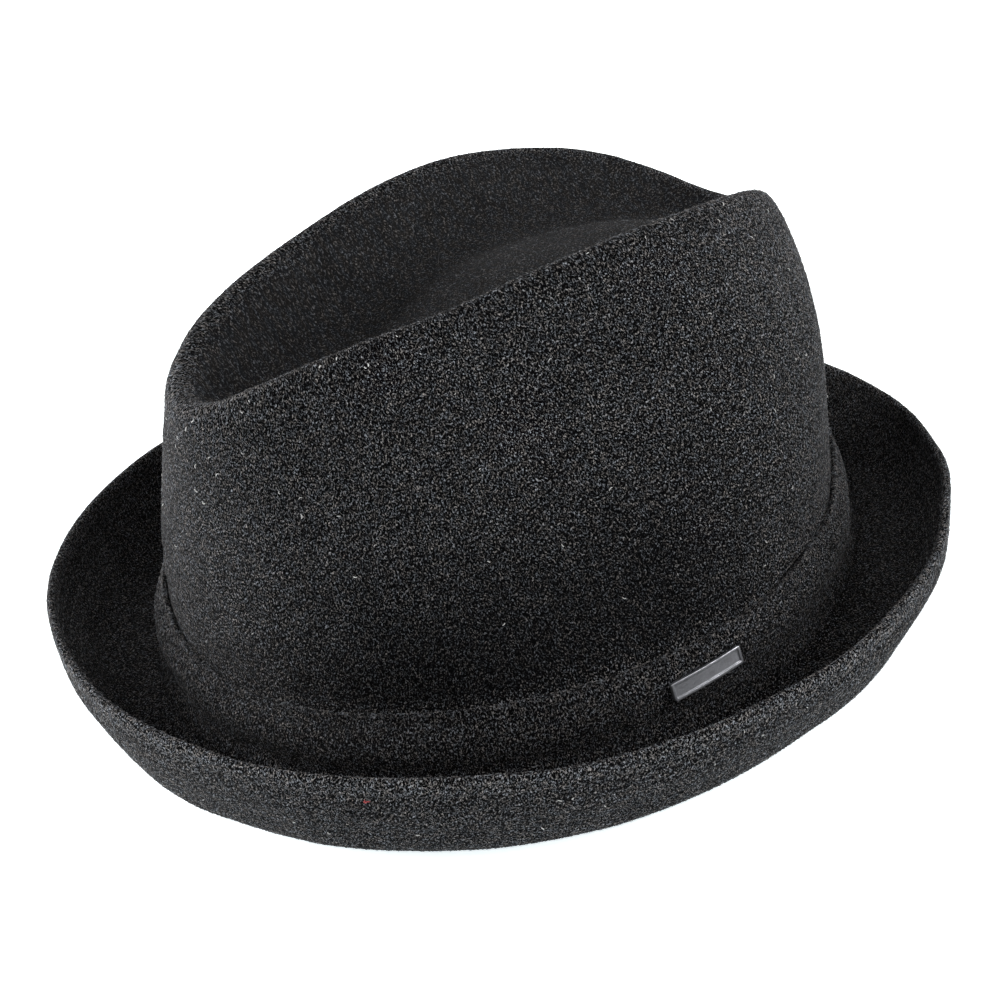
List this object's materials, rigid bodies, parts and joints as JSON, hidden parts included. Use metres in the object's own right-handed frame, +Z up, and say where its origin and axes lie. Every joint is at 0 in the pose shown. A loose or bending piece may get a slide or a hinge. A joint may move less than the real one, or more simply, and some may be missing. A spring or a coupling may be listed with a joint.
{
  "type": "trilby hat",
  "caption": "Seamless wool-felt trilby with a teardrop crown, a brim rolled up all round, a self-felt band and a small bare badge.",
  "frame": {"origin": "middle of the hat's outline, on the surface that it rests on", "axes": "+Z up through the crown; the front of the hat looks along -Y, so +Y runs to the back; +X is the wearer's left"},
  "size_m": [0.2444, 0.2566, 0.1124],
  "materials": {
    "felt": "black wool felt, fine short nap with pale flecks, matt",
    "band_felt": "the same black felt, brushed, with a raw top edge",
    "badge_metal": "dulled grey metal with a plain raised border and a bare field"
  },
  "bodies": {
    "root": {"felt_body": "felt", "crown_band": "band_felt", "badge": "badge_metal"}
  },
  "joints": []
}
